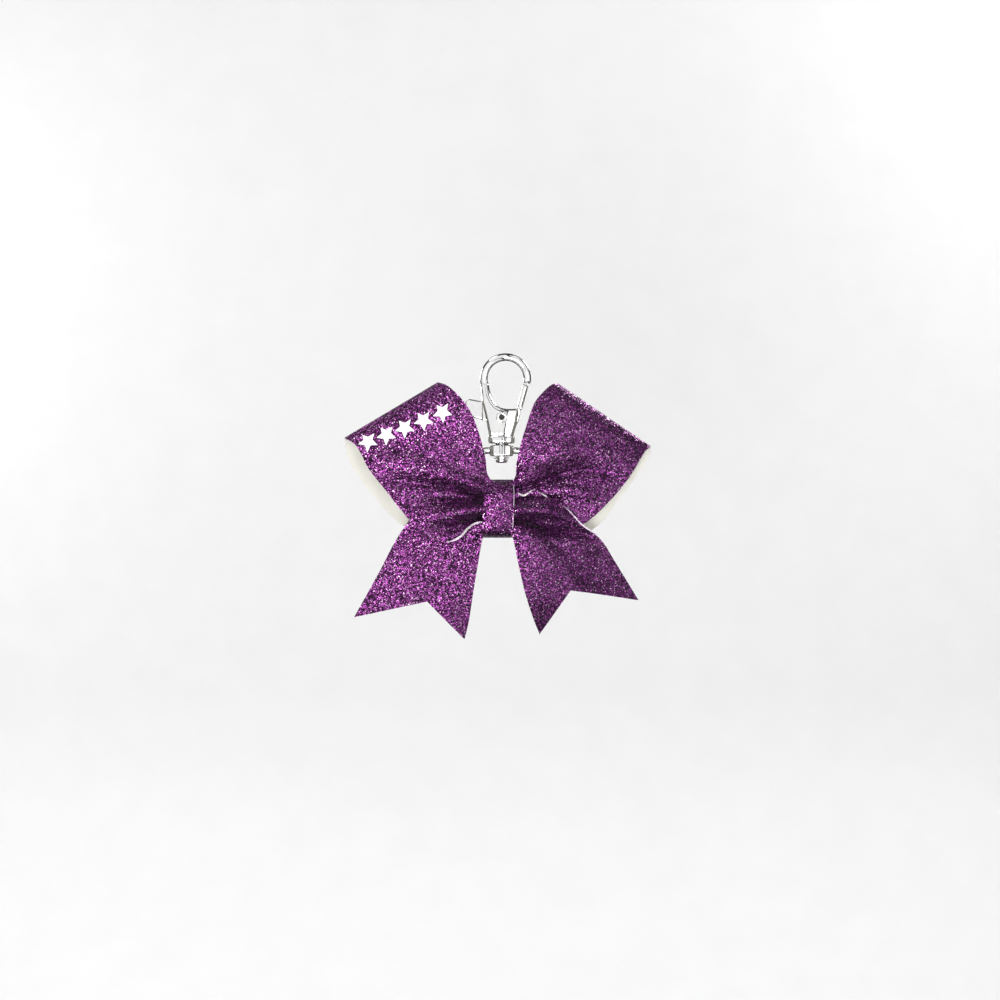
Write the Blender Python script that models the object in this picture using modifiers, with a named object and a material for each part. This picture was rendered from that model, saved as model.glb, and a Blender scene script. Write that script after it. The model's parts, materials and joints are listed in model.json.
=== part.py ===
"""Cheer bow bag charm: a glitter ribbon bow hung from a swivel trigger clasp.

The charm hangs. +Z is up, the bow's front faces -Y and +X is to the viewer's right.
The origin is on the swivel axis, level with the inside top of the hook.
Lengths in the tables below are in millimetres; MM turns them into metres.
"""
import math

import bmesh
import bpy
from mathutils import Matrix, Vector

MM = 0.001
MERGE = 0.00001

# Clasp hook: an open eye of round bar that runs into a flat plate
HOOK_CENTRE = (1.4, -6.2)
HOOK_RADIUS = 7.4
HOOK_BAR_R = 1.2
NOSE_ANGLE = -11.0
EYE_FLOOR = ((-2.9, -14.0), (-1.6, -15.5), (-0.4, -16.2), (1.2, -16.55), (3.2, -16.65))
PLATE_OUTLINE = ((-7.15, -8.0), (-6.5, -14.0), (-5.2, -19.7), (-4.0, -25.9), (3.8, -25.9), (5.1, -21.6),
                 (5.8, -17.2), (5.3, -16.5)) + EYE_FLOOR[::-1] + ((-4.0, -11.4), (-4.6, -8.0))
PLATE_HALF = 2.5
PLATE_ROUNDING = 0.7
SLOT_OUTLINE = ((-9.0, -12.4), (-3.2, -12.4), (-1.8, -13.4), (-1.8, -10.0), (9.0, -10.0), (9.0, -24.2),
                (-9.0, -24.2))
SLOT_HALF = 1.6
PIVOT = (0.1, -19.3)
PIVOT_HOLE_R = 1.5

# Gate lever, its rivet and its spring
LEVER_WEB = ((6.4, -15.9), (6.3, -18.5), (5.6, -21.0), (4.2, -23.8), (2.4, -23.8), (0.1, -22.6), (-3.0, -21.2),
             (-6.6, -20.3), (-6.6, -13.9), (-3.6, -13.8), (-1.6, -16.7), (2.2, -17.2), (5.0, -16.6))
LEVER_ARM = ((7.3, -7.9), (9.2, -8.6), (6.9, -16.9), (5.2, -16.1))
TAB_TIP = (-10.6, -15.1)
TAB_TIP_R = 2.0
TAB_UPPER = (-6.3, -13.9)
TAB_LOWER = ((-10.2, -19.2), (-6.3, -20.2))
LEVER_FRONT = -1.3
LEVER_BACK = 0.3
LEVER_THICK_HALF = 1.1
RIVET_BARREL_R = 1.35
RIVET_BORE_R = 0.85
RIVET_BORE_END = -0.9
RIVET_HEAD_R = 2.0
RIVET_HEAD_GAP = 0.1
RIVET_HEAD_H = 0.55
RIVET_CHAMFER = 0.2
SPRING_WIRE_R = 0.15
SPRING_COIL_R = 1.75
SPRING_TURNS = 2
SPRING_PITCH = 0.4
SPRING_GAP = 0.2
SPRING_ARM_LEG = 2.0
SPRING_PLATE_LEG = 3.4

# Swivel: collar on the hook, hub on the ring, pin and washer
COLLAR_R = 4.4
COLLAR_TOP = -25.7
COLLAR_BOTTOM = -28.1
NECK_R = 2.3
NECK_BOTTOM = -28.7
PIN_R = 1.2
PIN_TOP = -25.4
PIN_FIT = 0.06
HUB_R = 4.0
HUB_TOP = -28.9
HUB_BOTTOM = -32.5
WASHER_R = 2.5
WASHER_TOP = -32.7
WASHER_BOTTOM = -33.4
PIN_HEAD_R = 2.1
PIN_HEAD_TOP = -33.6
PIN_BOTTOM = -34.8

# Strap ring: a half-inch eye
RING_BAR_R = 1.15
RING_HALF_W = 7.5
RING_TOP = -30.6
RING_BAR_Z = -42.4
RING_TOP_CORNER = 2.4
RING_BOTTOM_CORNER = 2.6

# Ribbon: one strip, 38 mm wide, in three strands through the knot
RIBBON_T = 0.8
KNOT_LEFT = -6.5
KNOT_RIGHT = 4.7
FRONT_STRAND_Y = -6.0
MIDDLE_STRAND_Y = -3.6
BACK_STRAND_Y = 3.6
PLEAT_DEPTH = 0.9
PLEAT_COUNT = 2
PLEAT_REACH = 0.5
LOOP_STEPS = 24
ACROSS_STEPS = 10
TAIL_STEPS = 12

# Knot strip, gathered middle, tie and glue
STRIP_T = 0.6
STRIP_LEFT = -6.1
STRIP_RIGHT = 4.2
STRIP_PINCH = 0.9
STRIP_PINCH_REACH = 4.0
STRIP_STEPS = 36
WAIST_Y = (-5.6, 3.6)
WAIST_Z = (-57.4, -45.2)
WAIST_INSET = 0.3
WAIST_ROUNDING = 1.8
TIE_R = 0.4
TIE_TURNS = 3
TIE_PITCH = 1.0
TIE_GAP = 0.15
TIE_CORNER = 2.5
GLUE_HALF_W = 3.5
GLUE_Y = (6.0, 6.45)
GLUE_Z = (-52.5, -48.5)
GLUE_ROUNDING = 0.15

# Vinyl stars on the left loop
STAR_COUNT = 5
STAR_R = 3.4
STAR_INNER = 0.45
STAR_T = 0.25
STAR_LIFT = 0.75
STAR_ROW_START = 0.195
STAR_ROW_PITCH = 0.165
STAR_FOLD_START = 0.488
STAR_FOLD_STEP = 0.0475
STAR_PROBE = 0.01

MATERIALS = {
    "chrome": ((0.78, 0.78, 0.80), 0.08, 1.0),
    "spring_steel": ((0.45, 0.45, 0.47), 0.30, 1.0),
    "glitter_ribbon": ((0.24, 0.05, 0.26), 0.35, 0.3),
    "tie_thread": ((0.20, 0.05, 0.22), 0.80, 0.0),
    "glue": ((0.85, 0.84, 0.78), 0.35, 0.0),
    "white_vinyl": ((0.92, 0.92, 0.93), 0.40, 0.0),
}

# Ribbon edges, as (X, Z) from the knot outwards
LEFT_FOLD = ((-21.4, -7.6), (-53.3, -26.5))
RIGHT_FOLD = ((19.1, -7.9), (50.7, -29.5))
LEFT_LOOP = {
    "front_inner": ((KNOT_LEFT, -40.0), (-6.2, -31.0), (-8.2, -22.5), (-12.3, -14.7), LEFT_FOLD[0]),
    "front_outer": ((KNOT_LEFT, -56.3), (-10.0, -56.0), (-17.5, -61.3), (-30.2, -55.0), (-39.0, -44.2),
                    (-46.8, -33.8), LEFT_FOLD[1]),
    "back_inner": ((KNOT_LEFT, -43.0), (-9.0, -33.0), (-13.0, -22.0), LEFT_FOLD[0]),
    "back_outer": ((KNOT_LEFT, -56.5), (-20.0, -58.5), (-33.7, -56.2), (-50.0, -38.0), LEFT_FOLD[1]),
    "front_y": FRONT_STRAND_Y,
}
RIGHT_LOOP = {
    "front_inner": ((KNOT_RIGHT, -40.0), (5.7, -31.0), (8.2, -22.5), (12.0, -13.2), RIGHT_FOLD[0]),
    "front_outer": ((KNOT_RIGHT, -54.0), (16.0, -56.5), (27.3, -55.6), (42.5, -40.7), RIGHT_FOLD[1]),
    "back_inner": ((KNOT_RIGHT, -43.0), (8.5, -33.0), (12.5, -22.0), RIGHT_FOLD[0]),
    "back_outer": ((KNOT_RIGHT, -56.5), (20.0, -59.5), (31.9, -57.0), (47.2, -37.5), RIGHT_FOLD[1]),
    "front_y": MIDDLE_STRAND_Y,
}
LEFT_TAIL = {
    "outer": ((KNOT_LEFT, -46.5), (-15.0, -45.8), (-25.0, -48.0), (-31.4, -54.1), (-50.4, -87.5)),
    "inner": ((KNOT_LEFT, -59.4), (-7.9, -68.8), (-9.6, -79.0), (-12.9, -94.8)),
    "notch": 0.165,
    "rise": (MIDDLE_STRAND_Y, -1.0, 1.5),
}
RIGHT_TAIL = {
    "outer": ((KNOT_RIGHT, -44.9), (12.9, -45.2), (27.0, -55.9), (35.0, -62.5), (46.6, -81.6)),
    "inner": ((KNOT_RIGHT, -60.0), (5.9, -69.4), (8.2, -79.5), (12.9, -92.8)),
    "notch": 0.20,
    "rise": (FRONT_STRAND_Y, -11.0, -3.0),
}
LOOP_DEPTH_INNER = 19.0
LOOP_DEPTH_OUTER = 12.0

# Knot strip's run round the knot, as (Y, Z), from its inner end to its outer end at the back
STRIP_RUN = ((5.5, -53.5), (5.5, -47.5), (4.3, -43.4), (1.8, -41.1), (-0.4, -40.75), (-3.2, -41.5),
             (-6.2, -43.4), (-7.7, -47.0), (-8.0, -51.5), (-7.9, -55.5), (-6.4, -58.4), (-3.2, -59.6),
             (0.5, -59.8), (4.2, -59.1), (6.3, -56.8), (6.9, -53.5))
STRIP_END = (6.9, -47.5)


def clear_scene():
    for old in list(bpy.data.objects):
        bpy.data.objects.remove(old, do_unlink=True)


def make_collection(name):
    collection = bpy.data.collections.new(name)
    bpy.context.scene.collection.children.link(collection)
    return collection


def make_material(name):
    colour, roughness, metallic = MATERIALS[name]
    material = bpy.data.materials.new(name)
    material.use_nodes = True
    shader = material.node_tree.nodes["Principled BSDF"]
    shader.inputs["Base Color"].default_value = (*colour, 1.0)
    shader.inputs["Roughness"].default_value = roughness
    shader.inputs["Metallic"].default_value = metallic
    return material


clear_scene()
PARTS = make_collection("cheer_bow_charm")
CUTTERS = make_collection("cutters")
FINISHES = {name: make_material(name) for name in MATERIALS}


def point(x, y, z):
    return Vector((x * MM, y * MM, z * MM))


def add_part(name, data, finish):
    part = bpy.data.objects.new(name, data)
    PARTS.objects.link(part)
    data.materials.append(FINISHES[finish])
    return part


def add_cutter(name, mesh):
    cutter = bpy.data.objects.new(name, mesh)
    CUTTERS.objects.link(cutter)
    cutter.hide_render = True
    cutter.display_type = "WIRE"
    return cutter


def smooth(part, angle=35.0):
    part.data.shade_smooth()
    part.data.set_sharp_from_angle(angle=math.radians(angle))


def boolean(part, operation, cutter):
    modifier = part.modifiers.new(operation.lower() + "_" + cutter.name, "BOOLEAN")
    modifier.operation = operation
    modifier.object = cutter


def bevel(part, width, segments=2, angle=40.0):
    modifier = part.modifiers.new("rounded_edges", "BEVEL")
    modifier.width = width * MM
    modifier.segments = segments
    modifier.limit_method = "ANGLE"
    modifier.angle_limit = math.radians(angle)


def curve_as_mesh(curve, matrix=None):
    """The mesh of a curve with its caps welded, in world space."""
    holder = bpy.data.objects.new("curve_holder", curve)
    bpy.context.scene.collection.objects.link(holder)
    if matrix is not None:
        holder.matrix_world = matrix
    depsgraph = bpy.context.evaluated_depsgraph_get()
    mesh = bpy.data.meshes.new_from_object(holder.evaluated_get(depsgraph))
    mesh.transform(holder.matrix_world)
    bpy.data.objects.remove(holder, do_unlink=True)
    shell = bmesh.new()
    shell.from_mesh(mesh)
    bmesh.ops.remove_doubles(shell, verts=shell.verts, dist=MERGE)
    bmesh.ops.recalc_face_normals(shell, faces=shell.faces)
    shell.to_mesh(mesh)
    shell.free()
    return mesh


def plate_mesh(outline, front, back):
    """A flat plate in the XZ plane from y = front to y = back."""
    curve = bpy.data.curves.new("plate_outline", "CURVE")
    curve.dimensions = "2D"
    curve.fill_mode = "BOTH"
    curve.extrude = (back - front) / 2 * MM
    spline = curve.splines.new("POLY")
    spline.points.add(len(outline) - 1)
    for spot, (x, z) in zip(spline.points, outline):
        spot.co = (x * MM, z * MM, 0.0, 1.0)
    spline.use_cyclic_u = True
    upright = Matrix.Translation(point(0, (front + back) / 2, 0)) @ Matrix.Rotation(math.radians(90), 4, "X")
    return curve_as_mesh(curve, upright)


def tube_curve(name, path, radius, cyclic=False, resolution=2):
    curve = bpy.data.curves.new(name, "CURVE")
    curve.dimensions = "3D"
    curve.bevel_depth = radius * MM
    curve.bevel_resolution = resolution
    curve.use_fill_caps = not cyclic
    spline = curve.splines.new("POLY")
    spline.points.add(len(path) - 1)
    for spot, place in zip(spline.points, path):
        spot.co = (*place, 1.0)
    spline.use_cyclic_u = cyclic
    return curve


def turned_mesh(profile, centre, axis, segments=32, closed=False):
    """A profile of (radius, height) turned round an axis through centre."""
    mesh = bpy.data.meshes.new("turned_profile")
    body = bmesh.new()
    spots = [body.verts.new((r * MM, 0.0, h * MM)) for r, h in profile]
    pairs = list(zip(spots, spots[1:]))
    if closed:
        pairs.append((spots[-1], spots[0]))
    edges = [body.edges.new(pair) for pair in pairs]
    bmesh.ops.spin(body, geom=spots + edges, cent=(0, 0, 0), axis=(0, 0, 1), angle=math.tau,
                   steps=segments, use_merge=True, use_duplicate=False)
    bmesh.ops.remove_doubles(body, verts=body.verts, dist=MERGE)
    bmesh.ops.recalc_face_normals(body, faces=body.faces)
    body.to_mesh(mesh)
    body.free()
    turn = Vector((0, 0, 1)).rotation_difference(Vector(axis)).to_matrix().to_4x4()
    mesh.transform(Matrix.Translation(centre) @ turn)
    return mesh


def cylinder_mesh(radius, centre, axis, low, high, segments=32):
    profile = ((0.0, low), (radius, low), (radius, high), (0.0, high))
    return turned_mesh(profile, centre, axis, segments)


def arc(centre, radius, start, end, steps):
    """Points on an arc in degrees, from +X towards +Z."""
    turns = [math.radians(start + (end - start) * k / steps) for k in range(steps + 1)]
    return [(centre[0] + radius * math.cos(a), centre[1] + radius * math.sin(a)) for a in turns]


class SmoothRun:
    """A smooth curve through plane points, read by its share of the length."""

    def __init__(self, points):
        self.points = [Vector(p) for p in points]
        self.knots = [0.0]
        for a, b in zip(self.points, self.points[1:]):
            self.knots.append(self.knots[-1] + (b - a).length)

    def slope(self, k):
        low = max(k - 1, 0)
        high = min(k + 1, len(self.points) - 1)
        return (self.points[high] - self.points[low]) / (self.knots[high] - self.knots[low])

    def at(self, share):
        distance = share * self.knots[-1]
        k = 0
        while k < len(self.points) - 2 and distance > self.knots[k + 1]:
            k += 1
        span = self.knots[k + 1] - self.knots[k]
        s = (distance - self.knots[k]) / span
        start, end = self.points[k], self.points[k + 1]
        lead, trail = self.slope(k) * span, self.slope(k + 1) * span
        return (start * (2 * s**3 - 3 * s**2 + 1) + lead * (s**3 - 2 * s**2 + s)
                + end * (3 * s**2 - 2 * s**3) + trail * (s**3 - s**2))


def pleat(reach, across):
    """Depth of the pleats that run out from the knot."""
    fade = max(0.0, 1.0 - reach / PLEAT_REACH)
    return PLEAT_DEPTH * fade * math.cos(math.tau * PLEAT_COUNT * across)


def loop_point(loop, along, across):
    """A loop from its front knot end (along -1) round the fold (0) to the back knot end (1)."""
    side = "front" if along < 0 else "back"
    reach = 1.0 - along * along
    inner = loop[side + "_inner"].at(reach)
    outer = loop[side + "_outer"].at(reach)
    flat = inner.lerp(outer, across)
    belly = LOOP_DEPTH_INNER + (LOOP_DEPTH_OUTER - LOOP_DEPTH_INNER) * across
    knot_y = loop["front_y"] if along < 0 else BACK_STRAND_Y
    y = belly * along * reach + knot_y * abs(along) ** 3
    y += pleat(reach, across) * abs(along)
    return point(flat[0], y, flat[1])


def tail_point(tail, along, across):
    """A tail from the knot (along 0) to its swallowtail end (1)."""
    reach = along * (1.0 - tail["notch"] * (1.0 - abs(2.0 * across - 1.0)))
    flat = tail["outer"].at(reach).lerp(tail["inner"].at(reach), across)
    knot_y, middle_y, tip_y = tail["rise"]
    y = knot_y * (1 - reach) ** 2 + 2 * middle_y * reach * (1 - reach) + tip_y * reach**2
    y += pleat(reach, across)
    return point(flat[0], y, flat[1])


def with_runs(shape):
    """The same ribbon table with its edges as smooth curves."""
    edges = ("inner", "outer", "front_inner", "front_outer", "back_inner", "back_outer")
    return {key: SmoothRun(value) if key in edges else value for key, value in shape.items()}


def sheet_part(name, place, rows, columns, thickness, finish):
    """A ribbon: a grid of places, thickened evenly to both sides."""
    body = bmesh.new()
    grid = [[body.verts.new(place(i / rows, j / columns)) for j in range(columns + 1)]
            for i in range(rows + 1)]
    for near, far in zip(grid, grid[1:]):
        for j in range(columns):
            body.faces.new((near[j], near[j + 1], far[j + 1], far[j]))
    mesh = bpy.data.meshes.new(name)
    body.to_mesh(mesh)
    body.free()
    part = add_part(name, mesh, finish)
    shell = part.modifiers.new("ribbon_thickness", "SOLIDIFY")
    shell.thickness = thickness * MM
    shell.offset = 0.0
    mesh.shade_smooth()
    return part


def make_hook_body():
    nose_to_side = arc(HOOK_CENTRE, HOOK_RADIUS, NOSE_ANGLE, 185.0, 26)
    shank = [(-5.4, -9.5), (-4.6, -12.3), (-3.4, -15.0)]
    path = [point(x, 0, z) for x, z in nose_to_side + shank]
    bar = add_cutter("hook_bar", curve_as_mesh(tube_curve("hook_bar", path, HOOK_BAR_R, resolution=3)))
    body = add_part("hook_body", plate_mesh(PLATE_OUTLINE, -PLATE_HALF, PLATE_HALF), "chrome")
    bevel(body, PLATE_ROUNDING)
    collar_profile = ((0, COLLAR_TOP), (COLLAR_R - 0.4, COLLAR_TOP), (COLLAR_R, COLLAR_TOP - 0.4),
                      (COLLAR_R, COLLAR_BOTTOM + 0.3), (COLLAR_R - 0.3, COLLAR_BOTTOM),
                      (NECK_R, COLLAR_BOTTOM), (NECK_R, NECK_BOTTOM), (0, NECK_BOTTOM))
    collar = add_cutter("collar", turned_mesh(collar_profile, point(0, 0, 0), (0, 0, 1)))
    slot = add_cutter("lever_slot", plate_mesh(SLOT_OUTLINE, -SLOT_HALF, SLOT_HALF))
    pivot = point(PIVOT[0], 0, PIVOT[1])
    rivet_hole = add_cutter("rivet_hole", cylinder_mesh(PIVOT_HOLE_R, pivot, (0, 1, 0), -5, 5))
    pin_bore = add_cutter("pin_bore", cylinder_mesh(PIN_R + PIN_FIT, point(0, 0, 0), (0, 0, 1),
                                                    NECK_BOTTOM - 1, PIN_TOP + 0.3))
    boolean(body, "UNION", bar)
    boolean(body, "UNION", collar)
    boolean(body, "DIFFERENCE", slot)
    boolean(body, "DIFFERENCE", rivet_hole)
    boolean(body, "DIFFERENCE", pin_bore)
    smooth(body)


def make_gate_lever():
    tab = [TAB_UPPER, *arc(TAB_TIP, TAB_TIP_R, 100, 215, 5), *TAB_LOWER]
    lever = add_part("gate_lever", plate_mesh(LEVER_WEB, LEVER_FRONT, LEVER_BACK), "chrome")
    bevel(lever, 0.2, 1)
    thick_arm = add_cutter("gate_arm", plate_mesh(LEVER_ARM, -LEVER_THICK_HALF, LEVER_THICK_HALF))
    bevel(thick_arm, 0.4)
    thick_tab = add_cutter("thumb_tab", plate_mesh(tab, -LEVER_THICK_HALF, LEVER_THICK_HALF))
    bevel(thick_tab, 0.4)
    pivot = point(PIVOT[0], 0, PIVOT[1])
    hole = add_cutter("lever_hole", cylinder_mesh(PIVOT_HOLE_R, pivot, (0, 1, 0), -4, 4))
    boolean(lever, "UNION", thick_arm)
    boolean(lever, "UNION", thick_tab)
    boolean(lever, "DIFFERENCE", hole)
    smooth(lever)


def make_gate_rivet():
    """A semi-tubular rivet: its front end is hollow, its back head is solid."""
    low = PLATE_HALF + RIVET_HEAD_GAP
    high = low + RIVET_HEAD_H
    head = [(RIVET_BARREL_R, low), (RIVET_HEAD_R, low), (RIVET_HEAD_R - 0.1, high - RIVET_CHAMFER),
            (RIVET_HEAD_R - 0.5, high)]
    hollow = [(0, RIVET_BORE_END), (RIVET_BORE_R, RIVET_BORE_END), (RIVET_BORE_R, -high + RIVET_CHAMFER),
              (RIVET_BORE_R + 0.15, -high)]
    profile = hollow + [(r, -h) for r, h in reversed(head)] + head + [(0, high)]
    rivet = add_part("gate_rivet", turned_mesh(profile, point(PIVOT[0], 0, PIVOT[1]), (0, 1, 0), 28), "chrome")
    smooth(rivet)


def make_gate_spring():
    """Two turns behind the lever, with a leg along the arm and a leg down the plate."""
    steps = 14 * SPRING_TURNS
    first_y = LEVER_BACK + SPRING_GAP + SPRING_WIRE_R
    path = []
    for k in range(steps + 1):
        turn = math.tau * SPRING_TURNS * k / steps
        y = first_y + SPRING_PITCH * SPRING_TURNS * k / steps
        path.append(point(PIVOT[0] + SPRING_COIL_R * math.cos(turn), y,
                          PIVOT[1] + SPRING_COIL_R * math.sin(turn)))
    last_y = first_y + SPRING_PITCH * SPRING_TURNS
    path.insert(0, point(PIVOT[0] + SPRING_COIL_R, first_y, PIVOT[1] - SPRING_PLATE_LEG))
    path.append(point(PIVOT[0] + SPRING_COIL_R, last_y, PIVOT[1] + SPRING_ARM_LEG))
    add_part("gate_spring", tube_curve("gate_spring", path, SPRING_WIRE_R), "spring_steel")


def make_swivel():
    pin_profile = ((0, PIN_TOP), (PIN_R, PIN_TOP), (PIN_R, PIN_HEAD_TOP), (PIN_HEAD_R, PIN_HEAD_TOP),
                   (PIN_HEAD_R, PIN_BOTTOM + 0.5), (PIN_HEAD_R - 0.5, PIN_BOTTOM), (0, PIN_BOTTOM))
    pin = add_part("swivel_pin", turned_mesh(pin_profile, point(0, 0, 0), (0, 0, 1), 24), "chrome")
    smooth(pin)
    bore = PIN_R + PIN_FIT
    washer_profile = ((bore, WASHER_TOP), (WASHER_R, WASHER_TOP), (WASHER_R, WASHER_BOTTOM),
                      (bore, WASHER_BOTTOM))
    washer = add_part("swivel_washer", turned_mesh(washer_profile, point(0, 0, 0), (0, 0, 1), 24, True),
                      "chrome")
    smooth(washer)


def make_strap_ring():
    side = RING_HALF_W
    upper = RING_TOP - RING_TOP_CORNER
    lower = RING_BAR_Z + RING_BOTTOM_CORNER
    corners = (((side - RING_TOP_CORNER, upper), RING_TOP_CORNER, 90, 0, 5),
               ((side - RING_BOTTOM_CORNER, lower), RING_BOTTOM_CORNER, 0, -90, 7),
               ((-side + RING_BOTTOM_CORNER, lower), RING_BOTTOM_CORNER, -90, -180, 7),
               ((-side + RING_TOP_CORNER, upper), RING_TOP_CORNER, 180, 90, 5))
    outline = [spot for corner in corners for spot in arc(*corner)]
    path = [point(x, 0, z) for x, z in outline]
    hub_profile = ((0, HUB_TOP), (HUB_R - 0.3, HUB_TOP), (HUB_R, HUB_TOP - 0.3), (HUB_R, HUB_BOTTOM + 0.3),
                   (HUB_R - 0.3, HUB_BOTTOM), (0, HUB_BOTTOM))
    ring = add_part("strap_ring", turned_mesh(hub_profile, point(0, 0, 0), (0, 0, 1), 32), "chrome")
    eye = add_cutter("ring_eye", curve_as_mesh(tube_curve("ring_eye", path, RING_BAR_R, True, 3)))
    bore = add_cutter("hub_bore", cylinder_mesh(PIN_R + PIN_FIT, point(0, 0, 0), (0, 0, 1),
                                                HUB_BOTTOM - 2, HUB_TOP + 0.1))
    boolean(ring, "UNION", eye)
    boolean(ring, "DIFFERENCE", bore)
    smooth(ring)


def make_ribbon():
    """Two loops and two tails; returns the left loop's table for the stars."""
    left_loop, right_loop = with_runs(LEFT_LOOP), with_runs(RIGHT_LOOP)
    left_tail, right_tail = with_runs(LEFT_TAIL), with_runs(RIGHT_TAIL)
    for name, loop in (("left_loop", left_loop), ("right_loop", right_loop)):
        sheet_part(name, lambda i, j, loop=loop: loop_point(loop, 2 * i - 1, j),
                   LOOP_STEPS, ACROSS_STEPS, RIBBON_T, "glitter_ribbon")
    for name, tail in (("left_tail", left_tail), ("right_tail", right_tail)):
        sheet_part(name, lambda i, j, tail=tail: tail_point(tail, i, j),
                   TAIL_STEPS, ACROSS_STEPS, RIBBON_T, "glitter_ribbon")
    return left_loop


def make_knot_strip():
    run = SmoothRun(STRIP_RUN)
    z_top = max(z for y, z in STRIP_RUN)

    def place(i, j):
        y, z = STRIP_END if i == 1.0 else run.at(i * (STRIP_STEPS + 1) / STRIP_STEPS)
        pinch = STRIP_PINCH * max(0.0, 1.0 - (z_top - z) / STRIP_PINCH_REACH)
        return point(STRIP_LEFT + pinch + (STRIP_RIGHT - STRIP_LEFT - pinch) * j, y, z)

    sheet_part("knot_strip", place, STRIP_STEPS + 1, 2, STRIP_T, "glitter_ribbon")


def block_part(name, low, high, rounding, finish):
    body = bmesh.new()
    size = [b - a for a, b in zip(low, high)]
    centre = [(a + b) / 2 for a, b in zip(low, high)]
    bmesh.ops.create_cube(body, size=1.0)
    bmesh.ops.scale(body, vec=Vector(size) * MM, verts=body.verts)
    bmesh.ops.translate(body, vec=Vector(centre) * MM, verts=body.verts)
    mesh = bpy.data.meshes.new(name)
    body.to_mesh(mesh)
    body.free()
    part = add_part(name, mesh, finish)
    bevel(part, rounding, 3)
    smooth(part)
    return part


def make_gathered_middle():
    block_part("gathered_waist", (STRIP_LEFT + WAIST_INSET, WAIST_Y[0], WAIST_Z[0]),
               (STRIP_RIGHT - WAIST_INSET, WAIST_Y[1], WAIST_Z[1]), WAIST_ROUNDING, "glitter_ribbon")
    reach = TIE_R + TIE_GAP
    low = (WAIST_Y[0] - reach, WAIST_Z[0] - reach)
    high = (WAIST_Y[1] + reach, WAIST_Z[1] + reach)
    corners = (((high[0] - TIE_CORNER, high[1] - TIE_CORNER), 90, 0),
               ((high[0] - TIE_CORNER, low[1] + TIE_CORNER), 0, -90),
               ((low[0] + TIE_CORNER, low[1] + TIE_CORNER), -90, -180),
               ((low[0] + TIE_CORNER, high[1] - TIE_CORNER), -180, -270))
    turn = [spot for centre, start, end in corners for spot in arc(centre, TIE_CORNER, start, end, 3)]
    middle_x = (STRIP_LEFT + STRIP_RIGHT) / 2
    count = len(turn) * TIE_TURNS
    path = []
    for k in range(count):
        y, z = turn[k % len(turn)]
        path.append(point(middle_x + TIE_PITCH * TIE_TURNS * (k / count - 0.5), y, z))
    add_part("cinch_tie", tube_curve("cinch_tie", path, TIE_R), "tie_thread")
    block_part("glue_patch", (middle_x - GLUE_HALF_W, GLUE_Y[0], GLUE_Z[0]),
               (middle_x + GLUE_HALF_W, GLUE_Y[1], GLUE_Z[1]), GLUE_ROUNDING, "glue")


def make_stars(loop):
    """A row of stars on the front of the left loop, along the fold."""
    outline = []
    for k in range(10):
        radius = STAR_R if k % 2 == 0 else STAR_R * STAR_INNER
        turn = math.tau * k / 10 + math.pi / 2
        outline.append((radius * math.cos(turn), radius * math.sin(turn)))
    step = STAR_PROBE
    for k in range(STAR_COUNT):
        across = STAR_ROW_START + STAR_ROW_PITCH * k
        along = -STAR_FOLD_START + STAR_FOLD_STEP * k
        here = loop_point(loop, along, across)
        run_along = (loop_point(loop, along, across - step) - loop_point(loop, along, across + step)).normalized()
        to_fold = loop_point(loop, along + step, across) - loop_point(loop, along - step, across)
        outward = run_along.cross(to_fold).normalized()
        upward = outward.cross(run_along)
        turn = Matrix((run_along, -outward, upward)).transposed().to_4x4()
        mesh = plate_mesh(outline, -STAR_T / 2, STAR_T / 2)
        mesh.transform(Matrix.Translation(here + outward * STAR_LIFT * MM) @ turn)
        add_part("vinyl_star_%d" % (k + 1), mesh, "white_vinyl")


make_hook_body()
make_gate_lever()
make_gate_rivet()
make_gate_spring()
make_swivel()
make_strap_ring()
left_loop_runs = make_ribbon()
make_knot_strip()
make_gathered_middle()
make_stars(left_loop_runs)
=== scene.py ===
"""Cheer bow bag charm: the looks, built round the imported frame. Lengths in the tables are millimetres."""
import json
import math

import bmesh
import bpy
import numpy as np
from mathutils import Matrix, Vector

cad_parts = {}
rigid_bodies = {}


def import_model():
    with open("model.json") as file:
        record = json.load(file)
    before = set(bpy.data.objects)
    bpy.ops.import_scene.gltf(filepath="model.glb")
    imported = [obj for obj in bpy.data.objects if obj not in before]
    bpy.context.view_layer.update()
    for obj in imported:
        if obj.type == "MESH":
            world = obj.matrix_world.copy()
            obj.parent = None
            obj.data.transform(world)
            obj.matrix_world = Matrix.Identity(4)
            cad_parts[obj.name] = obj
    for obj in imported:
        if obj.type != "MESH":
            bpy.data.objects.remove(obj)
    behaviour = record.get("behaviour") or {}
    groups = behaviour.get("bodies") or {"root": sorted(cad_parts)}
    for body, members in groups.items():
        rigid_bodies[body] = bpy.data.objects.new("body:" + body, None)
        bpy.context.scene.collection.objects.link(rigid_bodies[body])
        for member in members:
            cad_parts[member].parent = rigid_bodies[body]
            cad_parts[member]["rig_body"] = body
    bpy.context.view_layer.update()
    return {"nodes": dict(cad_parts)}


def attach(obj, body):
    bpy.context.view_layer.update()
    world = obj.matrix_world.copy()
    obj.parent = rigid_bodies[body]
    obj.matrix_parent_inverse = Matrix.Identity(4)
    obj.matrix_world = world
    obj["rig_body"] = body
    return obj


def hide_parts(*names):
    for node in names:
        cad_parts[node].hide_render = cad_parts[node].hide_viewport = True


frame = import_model()

MM = 0.001

# View: straight at the bow's front
VIEW_CENTRE = (-0.5, -47.4)
VIEW_WIDTH = 340.0
LENS_MM = 85.0
SENSOR_MM = 36.0

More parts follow.
